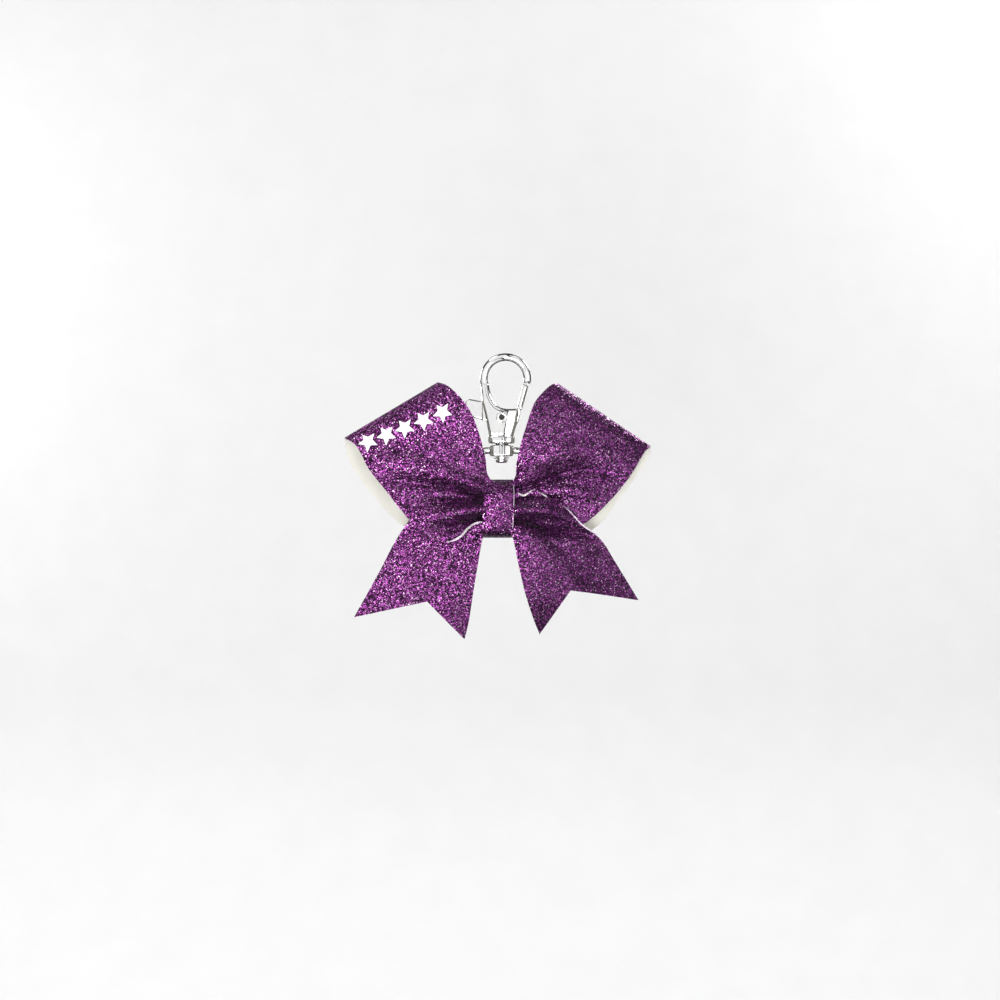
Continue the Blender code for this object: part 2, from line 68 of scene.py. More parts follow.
# Ribbon
RIBBON_T = 0.7
FRONT_STRAND_Y = -6.3
MIDDLE_STRAND_Y = -3.4
BACK_STRAND_Y = 3.6
LOOP_ROWS = 120
TAIL_ROWS = 72
ACROSS = 64
LIP_COLUMNS = 8
LIP_TAPER = 0.02
BELLY_INNER = 19.0
BELLY_OUTER = 12.5
FLAKE_MM = 0.32
LEFT_LOOP_SEED, RIGHT_LOOP_SEED, LEFT_TAIL_SEED, RIGHT_TAIL_SEED, STRIP_SEED = 11, 23, 31, 47, 5
LOOP_RIPPLE, TAIL_RIPPLE, STRIP_RIPPLE = 0.35, 0.3, 0.12

# Ribbon edges as (X, Z), from under the knot strip outwards
LEFT_FOLD = ((-21.6, -7.7), (-53.2, -26.5))
RIGHT_FOLD = ((19.0, -8.0), (50.6, -29.4))
LEFT_LOOP = {
    "front_inner": ((-1.5, -43.5), (-4.8, -38.6), (-5.4, -33.5), (-7.1, -26.4), (-9.9, -18.7), (-12.4, -14.6),
                    (-15.6, -11.0), (-18.5, -8.7), LEFT_FOLD[0]),
    "front_outer": ((-1.5, -56.0), (-5.6, -55.0), (-7.6, -54.9), (-9.6, -55.6), (-11.6, -57.0), (-13.6, -58.7),
                    (-15.6, -60.2), (-17.8, -61.2), (-20.4, -61.4), (-23.6, -60.0), (-30.2, -55.0), (-39.0, -44.2),
                    (-44.6, -37.2), (-47.2, -32.2), (-49.6, -28.6), LEFT_FOLD[1]),
    "back_inner": ((-1.5, -44.5), (-7.5, -38.0), (-11.5, -27.0), (-15.5, -16.0), LEFT_FOLD[0]),
    "back_outer": ((-1.5, -56.5), (-12.0, -57.6), (-24.0, -58.8), (-33.7, -56.0), (-42.5, -47.4), (-50.4, -36.9),
                   (-52.9, -31.0), LEFT_FOLD[1]),
    "front_y": FRONT_STRAND_Y,
    "lips": ((0.190, 0.060, 0.42, 165.0),),
}
RIGHT_LOOP = {
    "front_inner": ((1.5, -43.5), (4.7, -39.6), (5.2, -34.8), (6.8, -27.3), (8.1, -23.2), (9.6, -18.4),
                    (11.4, -14.2), (14.4, -10.6), (16.8, -8.6), RIGHT_FOLD[0]),
    "front_outer": ((1.5, -54.0), (9.0, -55.5), (18.0, -57.4), (27.3, -55.7), (37.2, -47.0), (43.4, -39.4),
                    (46.9, -33.6), (48.6, -31.0), RIGHT_FOLD[1]),
    "back_inner": ((1.5, -44.5), (7.0, -38.0), (10.5, -27.0), (14.0, -16.0), RIGHT_FOLD[0]),
    "back_outer": ((1.5, -56.5), (12.0, -58.0), (22.0, -60.0), (31.9, -57.0), (42.3, -44.4), (47.6, -37.2),
                   (50.5, -32.4), RIGHT_FOLD[1]),
    "front_y": MIDDLE_STRAND_Y,
    "lips": (),
}
LEFT_TAIL = {
    "outer": ((-1.5, -46.5), (-9.0, -45.3), (-18.0, -45.6), (-26.0, -48.6), (-31.4, -54.4), (-36.6, -62.3),
              (-41.9, -72.3), (-50.4, -87.5)),
    "inner": ((-1.5, -58.6), (-5.6, -59.2), (-6.5, -60.8), (-7.9, -68.8), (-9.4, -77.6), (-11.2, -89.0),
              (-12.7, -95.0)),
    "notch": (-25.4, -82.0),
    "rise": (MIDDLE_STRAND_Y, 0.5, 4.5),
    "curl": (0.6, -1.4),
    "lips": (),
}
RIGHT_TAIL = {
    "outer": ((1.5, -44.3), (4.7, -44.9), (7.2, -46.0), (9.1, -45.3), (10.9, -44.3), (12.9, -45.0), (16.5, -47.0),
              (20.8, -49.6), (27.0, -55.9), (31.4, -58.7), (34.2, -61.5), (37.4, -66.6), (46.6, -81.5)),
    "inner": ((1.5, -57.8), (3.4, -58.6), (4.1, -60.6), (5.8, -69.4), (7.9, -78.5), (10.6, -87.0), (12.9, -92.8)),
    "notch": (23.3, -77.8),
    "rise": (FRONT_STRAND_Y, -14.0, -2.3),
    "curl": (1.0, -1.8),
    "lips": ((0.112, 0.036, 0.22, 165.0), (0.43, 0.09, 0.13, 118.0)),
}

CREASE_R = 0.35

# Folds pinched by the knot: lines of (X, Z, half width, depth); a valley goes back, a ridge comes forward
LEFT_VALLEYS = (
    ((-1.0, -47.6, 0.8, 1.6), (-6.0, -46.9, 0.9, 2.2), (-12.0, -44.9, 1.2, 2.5), (-20.0, -42.7, 1.6, 2.2),
     (-30.0, -41.6, 1.9, 1.5), (-40.0, -39.6, 2.2, 0.6), (-46.0, -37.6, 2.2, 0.0)),
    ((-1.0, -47.6, 0.7, 1.6), (-6.0, -47.7, 0.7, 2.4), (-15.0, -47.4, 1.0, 2.4), (-24.0, -48.2, 1.3, 1.6),
     (-34.0, -49.6, 1.8, 0.0)),
    ((-1.0, -53.0, 0.6, 1.2), (-6.0, -53.2, 0.6, 1.9), (-12.0, -54.4, 0.9, 2.2), (-18.0, -56.4, 1.2, 1.8),
     (-25.0, -59.0, 1.4, 0.4), (-28.0, -60.5, 1.4, 0.0)),
)
LEFT_RIDGES = (
    ((-1.0, -44.5, 1.2, 0.6), (-6.0, -44.0, 1.5, 1.6), (-10.0, -42.0, 1.8, 1.9), (-20.0, -38.2, 3.0, 1.5),
     (-33.0, -34.6, 3.6, 1.3), (-46.0, -33.0, 3.6, 0.4), (-50.0, -32.0, 4.0, 0.0)),
    ((-1.0, -50.5, 1.3, 0.9), (-6.0, -50.6, 1.5, 1.9), (-10.0, -50.9, 1.6, 2.1), (-17.0, -51.9, 1.9, 1.5),
     (-26.0, -54.0, 2.2, 0.8), (-34.0, -53.0, 2.2, 0.0)),
    ((-7.0, -55.4, 0.7, 0.3), (-11.0, -56.8, 0.8, 0.8), (-17.0, -60.0, 1.0, 0.8), (-22.0, -61.0, 1.2, 0.0)),
)
RIGHT_VALLEYS = (
    ((1.0, -44.0, 0.9, 0.8), (6.0, -43.4, 1.1, 1.5), (12.0, -42.0, 1.9, 2.6), (16.0, -40.3, 2.5, 3.2),
     (20.0, -38.9, 2.9, 3.4), (25.0, -37.2, 3.0, 3.0), (30.0, -37.3, 2.9, 2.4), (36.0, -38.6, 2.6, 1.4),
     (42.0, -39.5, 2.4, 0.0)),
    ((1.0, -47.4, 0.7, 1.2), (5.0, -47.7, 0.7, 1.9), (11.0, -46.4, 0.8, 2.1), (18.0, -46.9, 1.1, 1.6),
     (27.0, -48.9, 1.5, 0.8), (33.0, -50.0, 1.6, 0.0)),
    ((1.0, -53.4, 0.8, 1.6), (5.0, -54.2, 1.0, 3.0), (10.0, -55.6, 1.5, 4.2), (15.0, -57.6, 1.9, 4.2),
     (21.0, -58.2, 2.0, 3.3), (28.0, -58.8, 2.0, 2.0), (33.0, -61.4, 2.0, 0.8), (38.0, -65.0, 2.2, 0.0)),
    ((13.0, -59.0, 1.6, 0.0), (18.0, -62.2, 1.8, 1.4), (23.0, -65.5, 2.0, 1.0), (30.0, -71.0, 2.2, 0.0)),
)
RIGHT_RIDGES = (
    ((3.0, -38.5, 1.4, 0.2), (10.0, -35.5, 2.2, 0.8), (24.0, -30.8, 3.2, 1.1), (38.0, -32.6, 3.2, 0.9),
     (47.0, -33.0, 3.0, 0.0)),
    ((14.0, -44.0, 1.2, 0.0), (22.0, -44.0, 1.4, 1.1), (29.0, -45.2, 1.7, 1.0), (36.0, -45.0, 2.0, 0.0)),
    ((1.0, -50.8, 1.2, 0.9), (5.0, -50.9, 1.4, 1.7), (9.0, -50.8, 1.5, 2.1), (15.0, -51.0, 1.6, 1.9),
     (21.0, -52.6, 1.6, 1.3), (27.0, -56.0, 1.8, 0.2)),
)
# One broad bend of the right tail: a point on its ridge, the way it falls back, its slope and its reach
RIGHT_BEND = ((8.0, -58.4), (0.72, 0.69), 0.62, 8.0)

# Clasp body: the plate's outline, how its section grows out of the round bar, and the crease down its front
PLATE_OUTLINE = ((-7.25, -6.0), (-6.5, -14.0), (-5.2, -19.7), (-4.0, -25.9), (3.8, -25.9), (5.1, -21.6),
                 (5.8, -17.2), (5.3, -16.5), (3.2, -16.65), (1.2, -16.55), (-0.4, -16.2), (-1.6, -15.5),
                 (-2.9, -14.0), (-4.0, -11.4), (-4.85, -6.0))
PLATE_FOOT = PLATE_OUTLINE[3][1]
PLATE_TOP = -8.0
PLATE_HALF = 2.5
PLATE_SWELL = 0.16
PLATE_EDGE_R = 1.0
HOOK_BAR_R = 1.2
HOOK_TAPER_LENGTH = 7.0
HUB_R = 4.0
SQUARE_POWER = 4.5
HOOK_CREASE = ((2.6, -17.0), (1.3, -25.6))
CREASE_SLOPE = 0.15
ARM_OUTLINE = ((7.3, -7.9), (9.2, -8.6), (6.9, -16.9), (5.2, -16.1))
ARM_FOOT = -16.4
ARM_HALF = 1.1
RIVET_AT = (0.1, -19.3)
RIVET_BORE_R = 0.85
RIVET_HEAD_R = 2.0
RIVET_FACE = -3.15

# Knot strip: its run round the knot as (Y, Z), from the inner end to the outer end at the back
STRIP_T = 0.6
STRIP_RUN = ((5.5, -53.5), (5.5, -47.5), (4.3, -43.4), (1.8, -41.1), (-0.4, -40.75), (-3.2, -41.5),
             (-6.2, -43.4), (-7.9, -47.0), (-8.3, -51.5), (-8.1, -55.5), (-6.6, -58.4), (-3.2, -59.7),
             (0.5, -59.9), (4.2, -59.2), (6.3, -56.8), (6.9, -53.5), (6.9, -50.5), (6.9, -47.5))
STRIP_TOP = (-5.7, 4.4)
STRIP_FOOT = (-6.5, 3.8)
STRIP_PINCH = 0.5
WAIST_MIDDLE_Y, WAIST_MIDDLE_Z = -1.0, -51.0
STRIP_ROWS = 120
STRIP_COLUMNS = 28

# Vinyl stars
STAR_COUNT = 5
STAR_R = 3.5
STAR_INNER = 0.47
STAR_T = 0.14
STAR_ROW_START = 0.199
STAR_ROW_PITCH = 0.172
STAR_FOLD_START = 0.469
STAR_FOLD_STEP = 0.0443
STAR_RINGS = 6
STAR_SIDE_STEPS = 5

# Stage in metres: floor height, where it starts to sweep up, the sweep's radius, its reach and the wall's top
BACKDROP = (0.50, 0.50, 0.50)
FLOOR_Z = -0.42
SWEEP_START_Y = 0.45
SWEEP_R = 0.25
SWEEP_STEPS = 12
STAGE_REACH = 30.0
WALL_TOP = 8.0

# Lights: name, place, target, diameter in metres, watts, and whether chrome mirrors it
CHARM_MIDDLE = (0, 0, -0.05)
LIGHTS = (
    ("key", (-0.15, -1.0, -0.24), CHARM_MIDDLE, 0.35, 6.0, True),
    ("fill", (0.28, -1.0, -0.04), CHARM_MIDDLE, 0.35, 1.5, True),
    ("top_left", (-0.40, 0.02, 0.70), CHARM_MIDDLE, 0.3, 1.8, True),
    ("top_right", (0.35, 0.0, 0.72), CHARM_MIDDLE, 0.3, 0.5, True),
    ("back_fill", (0.55, 0.55, 0.40), CHARM_MIDDLE, 0.3, 3.4, True),
    ("back_side", (-0.60, 0.55, 0.15), CHARM_MIDDLE, 0.3, 2.6, True),
    ("ceiling", (0, -6.0, 6.0), (0, -6.0, FLOOR_Z), 30.0, 500.0, False),
)


# ---------------------------------------------------------------- node helpers

def new_material(name):
    material = bpy.data.materials.new(name)
    material.use_nodes = True
    return material, material.node_tree, material.node_tree.nodes["Principled BSDF"]


def node(tree, kind, **values):
    made = tree.nodes.new(kind)
    for key, value in values.items():
        setattr(made, key, value)
    return made


def object_space(tree):
    return node(tree, "ShaderNodeTexCoord").outputs["Object"]


def ramp(tree, source, stops):
    made = node(tree, "ShaderNodeValToRGB")
    elements = made.color_ramp.elements
    while len(elements) < len(stops):
        elements.new(0.5)
    for element, (place, colour) in zip(elements, stops):
        element.position = place
        element.color = (*colour, 1.0)
    tree.links.new(source, made.inputs["Fac"])
    return made.outputs["Color"]


def maths(tree, operation, a, b=None):
    made = node(tree, "ShaderNodeMath", operation=operation)
    for socket, value in zip(made.inputs, (a, b)):
        if value is None:
            continue
        if isinstance(value, (int, float)):
            socket.default_value = value
        else:
            tree.links.new(value, socket)
    return made.outputs["Value"]


def mix_colour(tree, factor, a, b, blend="MIX"):
    made = node(tree, "ShaderNodeMix", data_type="RGBA", blend_type=blend)
    for socket, value in ((made.inputs["Factor"], factor), (made.inputs["A"], a), (made.inputs["B"], b)):
        if isinstance(value, (int, float)):
            socket.default_value = value
        elif isinstance(value, tuple):
            socket.default_value = (*value, 1.0)
        else:
            tree.links.new(value, socket)
    return made.outputs["Result"]


def noise(tree, coords, scale, detail=2.0, roughness=0.5):
    made = node(tree, "ShaderNodeTexNoise")
    made.inputs["Scale"].default_value = scale
    made.inputs["Detail"].default_value = detail
    made.inputs["Roughness"].default_value = roughness
    tree.links.new(coords, made.inputs["Vector"])
    return made.outputs["Fac"]


def bump(tree, shader, height, strength, distance):
    made = node(tree, "ShaderNodeBump")
    made.inputs["Strength"].default_value = strength
    made.inputs["Distance"].default_value = distance
    tree.links.new(height, made.inputs["Height"])
    tree.links.new(made.outputs["Normal"], shader.inputs["Normal"])


def srgb(r, g, b):
    def linear(v):
        v /= 255.0
        return v / 12.92 if v <= 0.04045 else ((v + 0.055) / 1.055) ** 2.4
    return (linear(r), linear(g), linear(b))


# ---------------------------------------------------------------- materials

def glitter_material(name, shade_low, shade_high):
    """Fine glitter flakes bonded to the ribbon: each flake has its own tilt, tone and shine. shade_low and shade_high
    set its overall brightness range; a raised range gives a copy with painted light.
    """
    material, tree, shader = new_material(name)
    coords = object_space(tree)
    flakes = node(tree, "ShaderNodeTexVoronoi", voronoi_dimensions="3D", feature="F1")
    flakes.inputs["Scale"].default_value = 1.0 / (FLAKE_MM * MM)
    tree.links.new(coords, flakes.inputs["Vector"])
    parts = node(tree, "ShaderNodeSeparateColor")
    tree.links.new(flakes.outputs["Color"], parts.inputs["Color"])
    tone = ramp(tree, parts.outputs["Red"], (
        (0.00, srgb(24, 12, 27)), (0.34, srgb(44, 20, 46)), (0.52, srgb(86, 36, 86)),
        (0.70, srgb(130, 58, 129)), (0.84, srgb(172, 88, 169)), (0.94, srgb(212, 130, 207)),
        (0.985, srgb(240, 206, 236))))
    cloud = noise(tree, coords, 260.0, 3.0)
    shade = ramp(tree, cloud, ((0.3, (shade_low,) * 3), (0.7, (shade_high,) * 3)))
    tinted = mix_colour(tree, 1.0, tone, shade, "MULTIPLY")
    gap = ramp(tree, flakes.outputs["Distance"], ((0.42, (1, 1, 1)), (0.78, (0.35, 0.30, 0.36))))
    tree.links.new(mix_colour(tree, 1.0, tinted, gap, "MULTIPLY"), shader.inputs["Base Color"])
    tilt = node(tree, "ShaderNodeVectorMath", operation="SUBTRACT")
    tree.links.new(flakes.outputs["Color"], tilt.inputs[0])
    tilt.inputs[1].default_value = (0.5, 0.5, 0.5)
    spread = node(tree, "ShaderNodeVectorMath", operation="SCALE")
    tree.links.new(tilt.outputs["Vector"], spread.inputs[0])
    spread.inputs["Scale"].default_value = 0.70
    facing = node(tree, "ShaderNodeNewGeometry")
    leaned = node(tree, "ShaderNodeVectorMath", operation="ADD")
    tree.links.new(facing.outputs["Normal"], leaned.inputs[0])
    tree.links.new(spread.outputs["Vector"], leaned.inputs[1])
    unit = node(tree, "ShaderNodeVectorMath", operation="NORMALIZE")
    tree.links.new(leaned.outputs["Vector"], unit.inputs[0])
    tree.links.new(unit.outputs["Vector"], shader.inputs["Normal"])
    shine = maths(tree, "MULTIPLY_ADD", parts.outputs["Green"], 0.35)
    shine.node.inputs[2].default_value = 0.20
    tree.links.new(shine, shader.inputs["Roughness"])
    metal = ramp(tree, parts.outputs["Red"], ((0.10, (0.55, 0.55, 0.55)), (0.60, (1.0, 1.0, 1.0))))
    tree.links.new(metal, shader.inputs["Metallic"])
    shader.inputs["Specular IOR Level"].default_value = 0.25
    shader.inputs["Sheen Weight"].default_value = 0.08
    shader.inputs["Sheen Roughness"].default_value = 0.35
    return material


def backing_material():
    """Cream woven back of the ribbon: fine ribs across its width."""
    material, tree, shader = new_material("cream_backing")
    coords = object_space(tree)
    threads = noise(tree, coords, 3200.0, 2.0)
    cloud = noise(tree, coords, 120.0, 3.0)
    base = ramp(tree, cloud, ((0.3, srgb(208, 206, 197)), (0.7, srgb(220, 219, 213))))
    fine = ramp(tree, threads, ((0.35, (0.93, 0.93, 0.92)), (0.65, (1.0, 1.0, 1.0))))
    tree.links.new(mix_colour(tree, 1.0, base, fine, "MULTIPLY"), shader.inputs["Base Color"])
    shader.inputs["Roughness"].default_value = 0.78
    shader.inputs["Sheen Weight"].default_value = 0.25
    bump(tree, shader, threads, 0.35, 0.00012)
    return material


def edge_material():
    """Cut edge of the ribbon: a pale core with a few purple specks."""
    material, tree, shader = new_material("ribbon_cut_edge")
    coords = object_space(tree)
    specks = noise(tree, coords, 1900.0, 1.0)
    tree.links.new(ramp(tree, specks, ((0.52, srgb(224, 214, 224)), (0.66, srgb(150, 96, 152)))),
                   shader.inputs["Base Color"])
    shader.inputs["Roughness"].default_value = 0.7
    bump(tree, shader, specks, 0.3, 0.0001)
    return material


def chrome_material():
    """Chrome plate on a die casting: bright, with a faint cast waviness and fine handling marks."""
    material, tree, shader = new_material("chrome_plate")
    coords = object_space(tree)
    cloud = noise(tree, coords, 380.0, 3.0)
    marks = noise(tree, coords, 2600.0, 4.0, 0.7)
    tree.links.new(ramp(tree, cloud, ((0.3, (0.70, 0.70, 0.70)), (0.7, (0.76, 0.757, 0.75)))),
                   shader.inputs["Base Color"])
    shader.inputs["Metallic"].default_value = 1.0
    tree.links.new(ramp(tree, marks, ((0.45, (0.035, 0.035, 0.035)), (0.75, (0.06, 0.06, 0.06)))),
                   shader.inputs["Roughness"])
    bump(tree, shader, cloud, 0.06, 0.0003)
    return material


def steel_material():
    material, tree, shader = new_material("spring_steel_wire")
    coords = object_space(tree)
    drawn = noise(tree, coords, 5200.0, 3.0)
    tree.links.new(ramp(tree, drawn, ((0.3, (0.38, 0.38, 0.40)), (0.7, (0.52, 0.52, 0.54)))),
                   shader.inputs["Base Color"])
    shader.inputs["Metallic"].default_value = 1.0
    shader.inputs["Roughness"].default_value = 0.3
    return material


def bore_shade_material():
    """Painted shade in the rivet's hollow: a dull, dark colour standing in for the shadow at its bottom."""
    material, tree, shader = new_material("rivet_bore_painted_shade")
    cloud = noise(tree, object_space(tree), 1500.0, 2.0)
    tree.links.new(ramp(tree, cloud, ((0.3, (0.035, 0.033, 0.032)), (0.7, (0.11, 0.105, 0.10)))),
                   shader.inputs["Base Color"])
    shader.inputs["Roughness"].default_value = 0.6
    return material


def thread_material():
    material, tree, shader = new_material("waxed_thread")
    coords = object_space(tree)
    ply = node(tree, "ShaderNodeTexWave", bands_direction="DIAGONAL")
    ply.inputs["Scale"].default_value = 900.0
    tree.links.new(coords, ply.inputs["Vector"])
    tree.links.new(ramp(tree, ply.outputs["Fac"], ((0.2, srgb(58, 22, 62)), (0.8, srgb(96, 44, 100)))),
                   shader.inputs["Base Color"])
    shader.inputs["Roughness"].default_value = 0.7
    bump(tree, shader, ply.outputs["Fac"], 0.5, 0.0001)
    return material


def glue_material():
    material, tree, shader = new_material("hot_melt_glue")
    coords = object_space(tree)
    cloud = noise(tree, coords, 700.0, 2.0)
    tree.links.new(ramp(tree, cloud, ((0.3, srgb(226, 222, 205)), (0.7, srgb(240, 238, 226)))),
                   shader.inputs["Base Color"])
    shader.inputs["Roughness"].default_value = 0.32
    bump(tree, shader, cloud, 0.4, 0.0002)
    return material


def vinyl_material():
    """White heat-transfer vinyl: smooth, slightly wavy where it is pressed over the glitter."""
    material, tree, shader = new_material("white_vinyl_film")
    coords = object_space(tree)
    grain = noise(tree, coords, 2100.0, 2.0)
    cloud = noise(tree, coords, 300.0, 2.0)
    tree.links.new(ramp(tree, cloud, ((0.3, srgb(236, 236, 240)), (0.7, srgb(248, 248, 250)))),
                   shader.inputs["Base Color"])
    shader.inputs["Roughness"].default_value = 0.42
    bump(tree, shader, grain, 0.35, 0.00012)
    return material


GLITTER = glitter_material("purple_glitter", 0.78, 1.12)
# Knot strip glitter: the same glitter with its brightness range raised, painted light that draws the strip brighter
# than the loops.
KNOT_GLITTER_PAINTED_LIGHT = glitter_material("purple_glitter_painted_brighter", 1.02, 1.40)
BACKING = backing_material()
CUT_EDGE = edge_material()
CHROME = chrome_material()
STEEL = steel_material()
# Painted shade for the rivet's hollow.
BORE = bore_shade_material()
THREAD = thread_material()
GLUE = glue_material()
VINYL = vinyl_material()


# ---------------------------------------------------------------- ribbon geometry

class SmoothRun:
    """A smooth curve through plane points, read by its share of the length."""

    def __init__(self, points):
        self.points = np.array(points, dtype=float)
        steps = np.linalg.norm(np.diff(self.points, axis=0), axis=1)
        self.knots = np.concatenate([[0.0], np.cumsum(steps)])
        low = np.maximum(np.arange(len(points)) - 1, 0)
        high = np.minimum(np.arange(len(points)) + 1, len(points) - 1)
        self.slopes = (self.points[high] - self.points[low]) / (self.knots[high] - self.knots[low])[:, None]

    def at(self, shares):
        distance = np.clip(np.asarray(shares, dtype=float), 0.0, 1.0) * self.knots[-1]
        k = np.clip(np.searchsorted(self.knots, distance, side="right") - 1, 0, len(self.points) - 2)
        span = (self.knots[k + 1] - self.knots[k])[..., None]
        s = (distance - self.knots[k])[..., None] / span
        return (self.points[k] * (2 * s**3 - 3 * s**2 + 1) + self.slopes[k] * span * (s**3 - 2 * s**2 + s)
                + self.points[k + 1] * (3 * s**2 - 2 * s**3) + self.slopes[k + 1] * span * (s**3 - s**2))


def with_runs(shape):
    edges = ("inner", "outer", "front_inner", "front_outer", "back_inner", "back_outer")
    return {key: SmoothRun(value) if key in edges else value for key, value in shape.items()}


def along_line(line, x, z, sharp):
    """How strong a fold is at each place: its depth on the line, dying away within its half width."""
    line = np.array(line)
    best = np.full(x.shape, np.inf)
    value = np.zeros(x.shape)
    for start, end in zip(line[:-1], line[1:]):
        step = end[:2] - start[:2]
        t = np.clip(((x - start[0]) * step[0] + (z - start[1]) * step[1]) / (step @ step), 0.0, 1.0)
        away = (x - start[0] - t * step[0]) ** 2 + (z - start[1] - t * step[1]) ** 2
        width = start[2] + (end[2] - start[2]) * t
        depth = start[3] + (end[3] - start[3]) * t
        if sharp:
            fall = (np.sqrt(away + CREASE_R**2) - CREASE_R) / width
        else:
            fall = away / width**2
        value = np.where(away < best, depth * np.exp(-fall), value)
        best = np.minimum(best, away)
    return value


def fold_depth(side, x, z):
    """How far the folds push the ribbon back at each place."""
    valleys, ridges = side
    power = 4.0
    valley = sum(along_line(line, x, z, True) ** power for line in valleys) ** (1.0 / power)
    return valley - sum(along_line(line, x, z, False) for line in ridges)


def loop_places(loop, along, across):
    """Places on a loop: along runs from -1 (front, knot) round the fold (0) to 1 (back, knot)."""
    along, across = np.broadcast_arrays(along, across)
    reach = 1.0 - along**2
    front = (along < 0)[..., None]
    inner = np.where(front, loop["front_inner"].at(reach), loop["back_inner"].at(reach))
    outer = np.where(front, loop["front_outer"].at(reach), loop["back_outer"].at(reach))
    flat = inner + (outer - inner) * across[..., None]
    belly = BELLY_INNER + (BELLY_OUTER - BELLY_INNER) * across
    knot_y = np.where(along < 0, loop["front_y"], BACK_STRAND_Y)
    y = belly * along * reach + knot_y * np.abs(along) ** 3
    front_folds = fold_depth(loop["folds"], flat[..., 0], flat[..., 1])
    back_folds = -0.9 * np.clip(1.0 - reach / 0.5, 0, 1) * np.cos(math.tau * 2 * across)
    y = y + np.where(along < 0, front_folds, back_folds)
    return np.stack([flat[..., 0], y, flat[..., 1]], axis=-1)


def notch_share(tail):
    """How much shorter the tail is on its centre line than at its two tips."""
    shares = np.linspace(0.5, 1.0, 201)
    middle = (tail["outer"].at(shares) + tail["inner"].at(shares)) / 2
    gap = np.linalg.norm(middle - np.array(tail["notch"]), axis=1)
    return 1.0 - shares[int(np.argmin(gap))]


def cut_line(tail, across):
    """The straight swallowtail cut: outer tip to notch to inner tip."""
    outer, notch, inner = tail["outer"].points[-1], np.array(tail["notch"]), tail["inner"].points[-1]
    share = np.asarray(across)[..., None]
    return np.where(share < 0.5, outer + (notch - outer) * 2 * share, notch + (inner - notch) * (2 * share - 1))


def cut_end(tail, across):
    """Where the tail would end at the same share of its length."""
    reach = 1.0 - tail["cut"] * (1.0 - np.abs(2.0 * across - 1.0))
    outer, inner = tail["outer"].at(reach), tail["inner"].at(reach)
    return outer + (inner - outer) * np.asarray(across)[..., None]


def tail_places(tail, along, across):
    """Places on a tail: along runs from 0 (knot) to 1 (swallowtail end)."""
    along, across = np.broadcast_arrays(along, across)
    reach = along * (1.0 - tail["cut"] * (1.0 - np.abs(2.0 * across - 1.0)))
    outer, inner = tail["outer"].at(reach), tail["inner"].at(reach)
    flat = outer + (inner - outer) * across[..., None]
    flat = flat + (cut_line(tail, across) - cut_end(tail, across)) * along[..., None] ** 4
    knot_y, middle_y, tip_y = tail["rise"]
    y = knot_y * (1 - reach) ** 2 + 2 * middle_y * reach * (1 - reach) + tip_y * reach**2
    y = y + fold_depth(tail["folds"], flat[..., 0], flat[..., 1])
    if tail["bend"]:
        place, way, slope, length = tail["bend"]
        past = (flat[..., 0] - place[0]) * way[0] + (flat[..., 1] - place[1]) * way[1]
        past = np.logaddexp(0.0, past / 0.5) * 0.5
        y = y + slope * length * (1.0 - np.exp(-past / length)) * np.clip((reach - 0.2) / 0.5, 0, 1)
    outer_curl, inner_curl = tail["curl"]
    bend = 1.0 - 2.0 * across
    y = y + reach**1.5 * (outer_curl * np.clip(bend, 0, 1) ** 2 - inner_curl * np.clip(-bend, 0, 1) ** 2)
    return np.stack([flat[..., 0], y, flat[..., 1]], axis=-1)


def lip_places(places, reach, lips, edge_column, next_column):
    """Extra columns that curl an edge forward and back over the face, so that the pale back shows."""
    edge = places[:, edge_column]
    outward = edge - places[:, next_column]
    run = np.gradient(edge, axis=0)
    run /= np.linalg.norm(run, axis=1, keepdims=True)
    outward -= run * (outward * run).sum(axis=1, keepdims=True)
    outward /= np.linalg.norm(outward, axis=1, keepdims=True)
    forward = np.cross(outward, run)
    forward /= np.linalg.norm(forward, axis=1, keepdims=True)
    forward *= -np.sign(forward[:, 1:2])
    strength = [np.exp(-((reach - centre) / width) ** 2) for centre, width, _, _ in lips]
    size = LIP_TAPER + sum(s * lip[2] for s, lip in zip(strength, lips))
    turn = sum(np.sqrt(s) * math.radians(lip[3]) for s, lip in zip(strength, lips))
    columns = []
    for k in range(1, LIP_COLUMNS + 1):
        bend = turn * k / LIP_COLUMNS
        out = size * np.sin(bend) + LIP_TAPER * k / LIP_COLUMNS
        lift = size * (1 - np.cos(bend))
        columns.append(edge + out[:, None] * outward + lift[:, None] * forward)
    return np.stack(columns, axis=1)


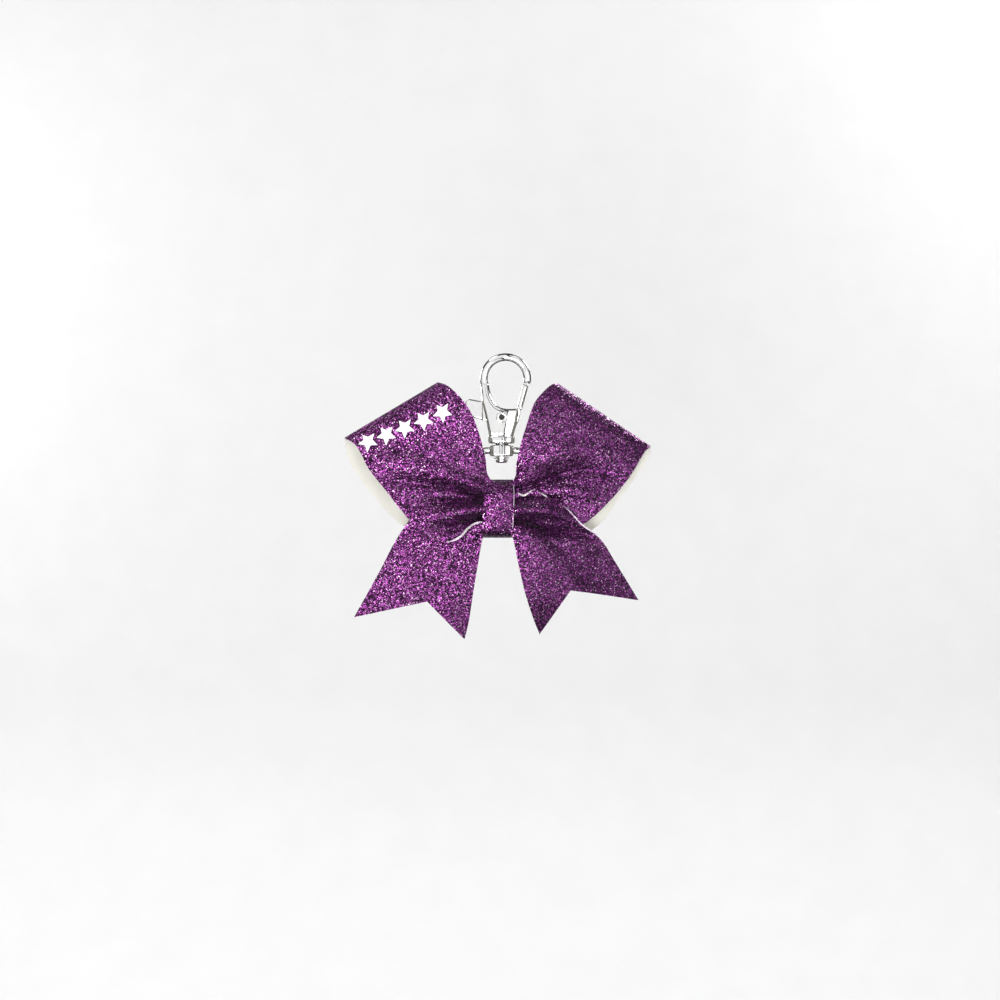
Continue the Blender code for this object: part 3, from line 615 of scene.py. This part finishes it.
def ribbon_mesh(name, places, thickness, face_sign):
    """A closed thin sheet round a grid of places: glitter face, cream back and pale cut edges."""
    rows, columns = places.shape[:2]
    step_i = np.gradient(places, axis=0)
    step_j = np.gradient(places, axis=1)
    normal = np.cross(step_i, step_j) * face_sign
    normal /= np.maximum(np.linalg.norm(normal, axis=-1, keepdims=True), 1e-9)
    top = places + normal * thickness / 2
    bottom = places - normal * thickness / 2
    vertices = np.concatenate([top.reshape(-1, 3), bottom.reshape(-1, 3)]) * MM
    index = np.arange(rows * columns).reshape(rows, columns)
    a, b = index[:-1, :-1].ravel(), index[:-1, 1:].ravel()
    c, d = index[1:, 1:].ravel(), index[1:, :-1].ravel()
    under = rows * columns
    if face_sign > 0:
        faces = [np.stack([a, d, c, b], axis=1), np.stack([a, b, c, d], axis=1) + under]
    else:
        faces = [np.stack([a, b, c, d], axis=1), np.stack([a, d, c, b], axis=1) + under]
    rim = np.concatenate([index[0, :], index[1:, -1], index[-1, -2::-1], index[-2:0:-1, 0]])
    after = np.roll(rim, -1)
    wall = np.stack([rim, after, after + under, rim + under], axis=1)
    if face_sign < 0:
        wall = wall[:, ::-1]
    faces.append(wall)
    mesh = bpy.data.meshes.new(name)
    mesh.from_pydata(vertices.tolist(), [], np.concatenate(faces).tolist())
    marks = np.repeat([0, 1, 2], [len(faces[0]), len(faces[1]), len(wall)])
    for material in (GLITTER, BACKING, CUT_EDGE):
        mesh.materials.append(material)
    mesh.polygons.foreach_set("material_index", marks.astype(np.int32))
    mesh.validate()
    mesh.shade_smooth()
    mesh.set_sharp_from_angle(angle=math.radians(50))
    check = bmesh.new()
    check.from_mesh(mesh)
    if check.calc_volume(signed=True) < 0:
        bmesh.ops.reverse_faces(check, faces=check.faces)
        check.to_mesh(mesh)
    check.free()
    piece = bpy.data.objects.new(name, mesh)
    bpy.context.scene.collection.objects.link(piece)
    return piece


def ripple(places, seed, height):
    """Slight unevenness of a cut and handled ribbon."""
    random = np.random.default_rng(seed)
    wave = np.zeros(places.shape[:2])
    for _ in range(6):
        direction = random.normal(size=2)
        direction /= np.linalg.norm(direction)
        pitch = random.uniform(9.0, 24.0)
        phase = random.uniform(0, math.tau)
        wave += np.sin((places[..., 0] * direction[0] + places[..., 2] * direction[1]) * math.tau / pitch + phase)
    lifted = places.copy()
    lifted[..., 1] += wave * height / 6
    return lifted


def finish_ribbon(piece, node_name):
    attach(piece, "bow")
    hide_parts(node_name)


def make_loop(name, node_name, loop, seed):
    along = np.linspace(-1, 1, 2 * LOOP_ROWS + 1)[:, None]
    across = np.linspace(0, 1, ACROSS + 1)[None, :]
    places = ripple(loop_places(loop, along, across), seed, LOOP_RIPPLE)
    if loop["lips"]:
        reach = np.where(along[:, 0] < 0, 1.0 - along[:, 0] ** 2, 1.0)
        places = np.concatenate([places, lip_places(places, reach, loop["lips"], -1, -2)], axis=1)
    piece = ribbon_mesh(name, places, RIBBON_T, loop["face"])
    finish_ribbon(piece, node_name)


def make_tail(name, node_name, tail, seed):
    along = np.linspace(0, 1, TAIL_ROWS + 1)[:, None]
    across = np.linspace(0, 1, ACROSS + 1)[None, :]
    places = ripple(tail_places(tail, along, across), seed, TAIL_RIPPLE)
    if tail["lips"]:
        places = np.concatenate([lip_places(places, along[:, 0], tail["lips"], 0, 1)[:, ::-1], places], axis=1)
    piece = ribbon_mesh(name, places, RIBBON_T, tail["face"])
    finish_ribbon(piece, node_name)


def make_knot_strip():
    run = SmoothRun(STRIP_RUN)
    y_z = run.at(np.linspace(0, 1, STRIP_ROWS + 1))
    across = np.linspace(0, 1, STRIP_COLUMNS + 1)
    share = np.clip((y_z[:, 1] + 41.0) / (-59.0 + 41.0), 0, 1)
    left = STRIP_TOP[0] + (STRIP_FOOT[0] - STRIP_TOP[0]) * share
    right = STRIP_TOP[1] + (STRIP_FOOT[1] - STRIP_TOP[1]) * share
    pinch = STRIP_PINCH * np.clip(1.0 - (y_z[:, 1].max() - y_z[:, 1]) / 4.0, 0, 1)
    left, right = left + pinch, right - pinch
    x = left[:, None] + (right - left)[:, None] * across[None, :]
    middle = (WAIST_MIDDLE_Y, WAIST_MIDDLE_Z)
    outward = y_z - np.array(middle)
    outward /= np.linalg.norm(outward, axis=1, keepdims=True)
    roll = -0.7 * np.abs(2 * across - 1) ** 3 + 0.45 * np.clip((across - 0.93) / 0.07, 0, 1) ** 2
    front = np.clip(-y_z[:, 0] / 6.0, 0, 1)
    y = y_z[:, 0][:, None] + outward[:, 0][:, None] * roll[None, :] * front[:, None]
    z = y_z[:, 1][:, None] + outward[:, 1][:, None] * roll[None, :] * front[:, None]
    places = ripple(np.stack([x, y, z], axis=-1), STRIP_SEED, STRIP_RIPPLE)
    piece = ribbon_mesh("knot_wrap", places, STRIP_T, 1.0)
    # The knot strip wears the brighter glitter copy: painted light.
    piece.data.materials[0] = KNOT_GLITTER_PAINTED_LIGHT
    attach(piece, "bow")
    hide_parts("knot_strip")


def make_star(loop, k):
    """A star that follows the loop's surface, pressed flat on the glitter."""
    across = STAR_ROW_START + STAR_ROW_PITCH * k
    along = -STAR_FOLD_START + STAR_FOLD_STEP * k
    step = 0.004

    def place(da, dv):
        return loop_places(loop, np.array(along) + da, np.array(across) + dv)

    here = place(0, 0)
    d_along = (place(step, 0) - place(-step, 0)) / (2 * step)
    d_across = (place(0, step) - place(0, -step)) / (2 * step)
    right = -d_across / np.linalg.norm(d_across)
    outward = np.cross(d_along, d_across)
    outward /= np.linalg.norm(outward)
    if outward[1] > 0:
        outward = -outward
    upward = np.cross(right, outward)
    if upward[2] < 0:
        upward = -upward
    basis = np.stack([d_along, d_across], axis=1)
    solver = np.linalg.pinv(basis)
    rings, per_side = STAR_RINGS, STAR_SIDE_STEPS
    corners = []
    for c in range(10):
        radius = STAR_R if c % 2 == 0 else STAR_R * STAR_INNER
        turn = math.tau * c / 10 + math.pi / 2
        corners.append((radius * math.cos(turn), radius * math.sin(turn)))
    rim = []
    for c in range(10):
        a, b = np.array(corners[c]), np.array(corners[(c + 1) % 10])
        rim += [a + (b - a) * s / per_side for s in range(per_side)]
    rim = np.array(rim)
    flat = [np.zeros(2)]
    for ring in range(1, rings + 1):
        flat += list(rim * ring / rings)
    flat = np.array(flat)
    shift = (right[None, :] * flat[:, :1] + upward[None, :] * flat[:, 1:]) @ solver.T
    a, v = along + shift[:, 0], across + shift[:, 1]
    base = ripple(loop_places(loop, a, v)[:, None, :], LEFT_LOOP_SEED, LOOP_RIPPLE)[:, 0, :]
    ahead = ripple(loop_places(loop, a + step, v)[:, None, :], LEFT_LOOP_SEED, LOOP_RIPPLE)[:, 0, :]
    aside = ripple(loop_places(loop, a, v + step)[:, None, :], LEFT_LOOP_SEED, LOOP_RIPPLE)[:, 0, :]
    normal = np.cross(ahead - base, aside - base)
    normal /= np.linalg.norm(normal, axis=1, keepdims=True)
    normal *= np.sign(-normal[:, 1:2])
    low = base + normal * (RIBBON_T / 2 + 0.02)
    high = low + normal * STAR_T
    count, around = len(flat), len(rim)
    faces = []
    for layer, flip in ((0, True), (count, False)):
        for s in range(around):
            t = (s + 1) % around
            tri = (layer, layer + 1 + s, layer + 1 + t)
            faces.append(tri[::-1] if flip else tri)
            for ring in range(rings - 1):
                p, q = layer + 1 + ring * around, layer + 1 + (ring + 1) * around
                quad = (p + s, q + s, q + t, p + t)
                faces.append(quad[::-1] if flip else quad)
    outer = 1 + (rings - 1) * around
    for s in range(around):
        t = (s + 1) % around
        faces.append((outer + s, outer + t, count + outer + t, count + outer + s))
    mesh = bpy.data.meshes.new("star_decal_%d" % (k + 1))
    mesh.from_pydata((np.concatenate([low, high]) * MM).tolist(), [], faces)
    mesh.materials.append(VINYL)
    shell = bmesh.new()
    shell.from_mesh(mesh)
    bmesh.ops.recalc_face_normals(shell, faces=shell.faces)
    shell.to_mesh(mesh)
    shell.free()
    mesh.shade_smooth()
    mesh.set_sharp_from_angle(angle=math.radians(40))
    piece = bpy.data.objects.new(mesh.name, mesh)
    bpy.context.scene.collection.objects.link(piece)
    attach(piece, "bow")
    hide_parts("vinyl_star_%d" % (k + 1))


# ---------------------------------------------------------------- camera, light and stage

def make_camera():
    data = bpy.data.cameras.new("front_camera")
    data.lens = LENS_MM
    data.sensor_width = SENSOR_MM
    data.clip_start = 0.01
    data.clip_end = 20.0
    camera = bpy.data.objects.new("front_camera", data)
    bpy.context.scene.collection.objects.link(camera)
    distance = VIEW_WIDTH * LENS_MM / SENSOR_MM
    camera.location = (VIEW_CENTRE[0] * MM, -distance * MM, VIEW_CENTRE[1] * MM)
    camera.rotation_euler = (math.radians(90), 0, 0)
    bpy.context.scene.camera = camera
    bpy.context.scene.view_settings.view_transform = "Standard"


def area_light(name, place, target, size, power, mirrored):
    data = bpy.data.lights.new(name, "AREA")
    data.shape = "DISK"
    data.size = size
    data.energy = power
    light = bpy.data.objects.new(name, data)
    light.location = place
    light.visible_glossy = mirrored
    light.rotation_euler = (Vector(target) - Vector(place)).to_track_quat("-Z", "Y").to_euler()
    bpy.context.scene.collection.objects.link(light)


def make_world():
    """What the chrome mirrors: a white tent, soft boxes, a dark back and a narrow gap. The camera sees plain grey."""
    world = bpy.data.worlds.new("studio")
    bpy.context.scene.world = world
    world.use_nodes = True
    tree = world.node_tree
    background = tree.nodes["Background"]
    direction = node(tree, "ShaderNodeTexCoord").outputs["Generated"]
    parts = node(tree, "ShaderNodeSeparateXYZ")
    tree.links.new(direction, parts.inputs["Vector"])
    depth = maths(tree, "ADD", maths(tree, "MULTIPLY", parts.outputs["Y"], 0.5), 0.5)
    tent = ramp(tree, depth, (
        (0.00, (1.16, 1.16, 1.16)), (0.14, (1.16, 1.16, 1.16)), (0.24, (0.78, 0.78, 0.78)),
        (0.34, (0.48, 0.48, 0.48)), (0.39, (0.32, 0.32, 0.32)), (0.44, (0.03, 0.03, 0.035)),
        (0.88, (0.025, 0.025, 0.03)), (0.94, (0.40, 0.40, 0.41)), (1.00, (0.60, 0.60, 0.60))))
    height = maths(tree, "ABSOLUTE", parts.outputs["Z"])
    level = ramp(tree, height, ((0.28, (1, 1, 1)), (0.40, (0, 0, 0))))
    boxes = ramp(tree, depth, ((0.00, (1.10, 1.10, 1.10)), (0.28, (1.20, 1.20, 1.20)), (0.35, (1.0, 1.0, 1.0)),
                               (0.41, (0, 0, 0))))
    tent = mix_colour(tree, 1.0, tent, mix_colour(tree, 1.0, boxes, level, "MULTIPLY"), "LIGHTEN")
    side = maths(tree, "ADD", maths(tree, "MULTIPLY", parts.outputs["X"], 0.5), 0.5)
    gap = ramp(tree, side, ((0.512, (1, 1, 1)), (0.524, (0.10, 0.10, 0.11)), (0.556, (0.10, 0.10, 0.11)),
                            (0.572, (1, 1, 1))))
    seen = node(tree, "ShaderNodeLightPath").outputs["Is Camera Ray"]
    tree.links.new(mix_colour(tree, seen, mix_colour(tree, 1.0, tent, gap, "MULTIPLY"), BACKDROP),
                   background.inputs["Color"])
    background.inputs["Strength"].default_value = 1.0


def make_stage():
    """A pale floor that sweeps up into a pale wall, well behind and below the charm."""
    profile = [(-STAGE_REACH, FLOOR_Z), (SWEEP_START_Y, FLOOR_Z)]
    for k in range(SWEEP_STEPS + 1):
        turn = math.radians(-90 + 90 * k / SWEEP_STEPS)
        profile.append((SWEEP_START_Y + SWEEP_R * math.cos(turn), FLOOR_Z + SWEEP_R + SWEEP_R * math.sin(turn)))
    profile.append((SWEEP_START_Y + SWEEP_R, WALL_TOP))
    sweep = bmesh.new()
    left = [sweep.verts.new((-STAGE_REACH, y, z)) for y, z in profile]
    right = [sweep.verts.new((STAGE_REACH, y, z)) for y, z in profile]
    for k in range(len(profile) - 1):
        sweep.faces.new((left[k], right[k], right[k + 1], left[k + 1]))
    mesh = bpy.data.meshes.new("studio_sweep")
    sweep.to_mesh(mesh)
    sweep.free()
    mesh.shade_smooth()
    material, tree, shader = new_material("pale_paper")
    paper = noise(tree, object_space(tree), 40.0, 2.0)
    tree.links.new(ramp(tree, paper, ((0.3, (0.62, 0.62, 0.62)), (0.7, (0.635, 0.635, 0.635)))),
                   shader.inputs["Base Color"])
    shader.inputs["Roughness"].default_value = 0.9
    mesh.materials.append(material)
    stage = bpy.data.objects.new("studio_sweep", mesh)
    bpy.context.scene.collection.objects.link(stage)
    stage.visible_glossy = False


# ---------------------------------------------------------------- clasp castings

def depth_inside(outline, x, z):
    """How far each place lies inside a closed outline; below zero outside it."""
    nearest = np.full(x.shape, np.inf)
    inside = np.zeros(x.shape, dtype=bool)
    for start, end in zip(outline, outline[1:] + outline[:1]):
        run_x, run_z = end[0] - start[0], end[1] - start[1]
        t = np.clip(((x - start[0]) * run_x + (z - start[1]) * run_z) / (run_x**2 + run_z**2), 0, 1)
        nearest = np.minimum(nearest, np.hypot(x - start[0] - t * run_x, z - start[1] - t * run_z))
        if run_z:
            inside ^= ((start[1] > z) != (end[1] > z)) & (x < start[0] + run_x * (z - start[1]) / run_z)
    return np.where(inside, nearest, -nearest)


def rolled_edge(depth, radius):
    """How far a face falls back towards its outline, as a quarter circle."""
    left = radius - np.clip(depth, 0, radius)
    return radius - np.sqrt(np.maximum(radius**2 - left**2, 0))


def square_up(x, y, from_radius):
    """Turns round sections a little square, so that their fronts are flatter."""
    radius = np.hypot(x, y)
    unit_x, unit_y = np.abs(x) / np.maximum(radius, 1e-9), np.abs(y) / np.maximum(radius, 1e-9)
    growth = (unit_x**SQUARE_POWER + unit_y**SQUARE_POWER) ** (-1.0 / SQUARE_POWER)
    growth = 1 + (growth - 1) * np.clip((radius - from_radius) / 0.6, 0, 1)
    return x * growth, y * growth


def shape_hook(x, y, z):
    """Grows the plate out of the round bar, rolls its edges and gives its front a shallow crease."""
    share = np.clip((PLATE_TOP - z) / HOOK_TAPER_LENGTH, 0, 1)
    share = share * share * (3 - 2 * share)
    half = HOOK_BAR_R + (PLATE_HALF - HOOK_BAR_R) * share
    radius = HOOK_BAR_R + (PLATE_EDGE_R - HOOK_BAR_R) * share
    surface = half - rolled_edge(depth_inside(PLATE_OUTLINE, x, z), radius)
    scaled = y / PLATE_HALF * surface
    plate = (z < PLATE_TOP) & (z > PLATE_FOOT)
    shoulder = (z >= PLATE_TOP) & (z < PLATE_TOP + 0.6) & (np.abs(y) > surface)
    shaped = np.where(plate, scaled, np.where(shoulder, np.sign(y) * surface, y))
    crease = HOOK_CREASE[0][0] + (HOOK_CREASE[1][0] - HOOK_CREASE[0][0]) * (
        (z - HOOK_CREASE[0][1]) / (HOOK_CREASE[1][1] - HOOK_CREASE[0][1]))
    past = np.logaddexp(0.0, (x - crease) / 0.3) * 0.3
    shaped = np.where(plate & (shaped < -HOOK_BAR_R), shaped + CREASE_SLOPE * past * share, shaped)
    collar = z <= PLATE_FOOT
    square_x, square_y = square_up(x, y, 2.6)
    return np.where(collar, square_x, x), np.where(collar, square_y, shaped), z


def shape_lever(x, y, z):
    """Rounds the gate's arm."""
    surface = ARM_HALF - rolled_edge(depth_inside(ARM_OUTLINE, x, z), 1.0)
    blend = np.clip((z - ARM_FOOT) / 1.2, 0, 1) * (x > ARM_OUTLINE[3][0] - 0.3)
    return x, y * (1 - blend) + y / ARM_HALF * surface * blend, z


def shape_rivet(x, y, z):
    """Rolls the rivet's rims over."""
    radius = np.hypot(x - RIVET_AT[0], z - RIVET_AT[1])
    rim = rolled_edge(RIVET_HEAD_R - radius, 0.5)
    front = RIVET_FACE + rim + rolled_edge(radius - RIVET_BORE_R, 0.3)
    return x, np.clip(y, np.where(radius > RIVET_BORE_R, front, y), -RIVET_FACE - rim), z


def shape_ring(x, y, z):
    """Flattens the front of the ring's hub."""
    hub = np.hypot(x, y) < HUB_R + 0.05
    square_x, square_y = square_up(x, y, 1.9)
    return np.where(hub, square_x, x), np.where(hub, square_y, y), z


SHAPED = {"hook_body": shape_hook, "gate_lever": shape_lever, "gate_rivet": shape_rivet, "strap_ring": shape_ring}


def paint_bore_shade(skin):
    """Painted shade: the rivet's hollow end gets a dark colour where it lies in shadow."""
    skin.materials.append(BORE)
    centres = np.empty(len(skin.polygons) * 3)
    skin.polygons.foreach_get("center", centres)
    x, y, z = (centres.reshape(-1, 3) / MM).T
    hollow = (np.hypot(x - RIVET_AT[0], z - RIVET_AT[1]) < RIVET_BORE_R + 0.06) & (y > RIVET_FACE + 0.25) & (y < 0)
    skin.polygons.foreach_set("material_index", hollow.astype(np.int32))


def baked(piece):
    """The piece's mesh with its modifiers applied; the modifiers go."""
    skin = bpy.data.meshes.new_from_object(piece.evaluated_get(bpy.context.evaluated_depsgraph_get()))
    piece.modifiers.clear()
    piece.data = skin
    return skin


def cast_copy(name, node_name, voxel, rounds, swell):
    """A cast metal part: the CAD part's shape with its edges softened."""
    source = frame["nodes"][node_name]
    piece = bpy.data.objects.new(name, source.data.copy())
    bpy.context.scene.collection.objects.link(piece)
    remesh = piece.modifiers.new("even_skin", "REMESH")
    remesh.mode = "VOXEL"
    remesh.voxel_size = voxel * MM
    skin = baked(piece)
    if node_name in SHAPED:
        places = np.empty(len(skin.vertices) * 3)
        skin.vertices.foreach_get("co", places)
        shaped = SHAPED[node_name](*(places.reshape(-1, 3) / MM).T.copy())
        skin.vertices.foreach_set("co", (np.stack(shaped, axis=1) * MM).ravel())
        skin.update()
    soften = piece.modifiers.new("soften", "SMOOTH")
    soften.factor = 0.5
    soften.iterations = rounds
    skin = baked(piece)
    places, normals = np.empty(len(skin.vertices) * 3), np.empty(len(skin.vertices) * 3)
    skin.vertices.foreach_get("co", places)
    skin.vertex_normals.foreach_get("vector", normals)
    skin.vertices.foreach_set("co", places + normals * swell * MM)
    skin.update()
    skin.materials.clear()
    skin.materials.append(CHROME)
    # The rivet's hollow gets painted shade.
    if node_name == "gate_rivet":
        paint_bore_shade(skin)
    skin.shade_smooth()
    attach(piece, source["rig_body"])
    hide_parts(node_name)


# ---------------------------------------------------------------- the charm

make_camera()
make_world()
make_stage()
for light_row in LIGHTS:
    area_light(*light_row)

left_loop, right_loop = with_runs(LEFT_LOOP), with_runs(RIGHT_LOOP)
left_tail, right_tail = with_runs(LEFT_TAIL), with_runs(RIGHT_TAIL)
left_loop["face"], right_loop["face"] = 1.0, -1.0
left_loop["folds"] = left_tail["folds"] = (LEFT_VALLEYS, LEFT_RIDGES)
right_loop["folds"] = right_tail["folds"] = (RIGHT_VALLEYS, RIGHT_RIDGES)
left_tail["bend"], right_tail["bend"] = None, RIGHT_BEND
left_tail["face"], right_tail["face"] = 1.0, -1.0
left_tail["cut"], right_tail["cut"] = notch_share(left_tail), notch_share(right_tail)

make_loop("left_loop_ribbon", "left_loop", left_loop, LEFT_LOOP_SEED)
make_loop("right_loop_ribbon", "right_loop", right_loop, RIGHT_LOOP_SEED)
make_tail("left_tail_ribbon", "left_tail", left_tail, LEFT_TAIL_SEED)
make_tail("right_tail_ribbon", "right_tail", right_tail, RIGHT_TAIL_SEED)
make_knot_strip()
for star in range(STAR_COUNT):
    make_star(left_loop, star)

# Each with its remeshing step in mm, its rounds of smoothing and its swelling in mm
cast_copy("hook_body_cast", "hook_body", 0.10, 44, PLATE_SWELL)
cast_copy("gate_lever_cast", "gate_lever", 0.12, 14, 0.03)
cast_copy("strap_ring_cast", "strap_ring", 0.12, 10, 0.03)
cast_copy("swivel_pin_cast", "swivel_pin", 0.10, 4, 0.0)
cast_copy("gate_rivet_cast", "gate_rivet", 0.08, 4, 0.0)
cast_copy("swivel_washer_cast", "swivel_washer", 0.08, 3, 0.0)

CAD_FINISH = {"hook_body": CHROME, "gate_lever": CHROME, "gate_rivet": CHROME, "swivel_pin": CHROME,
              "swivel_washer": CHROME, "strap_ring": CHROME, "gate_spring": STEEL, "gathered_waist": GLITTER,
              "cinch_tie": THREAD, "glue_patch": GLUE}
for name, finish in CAD_FINISH.items():
    for part_slot in frame["nodes"][name].material_slots:
        part_slot.material = finish
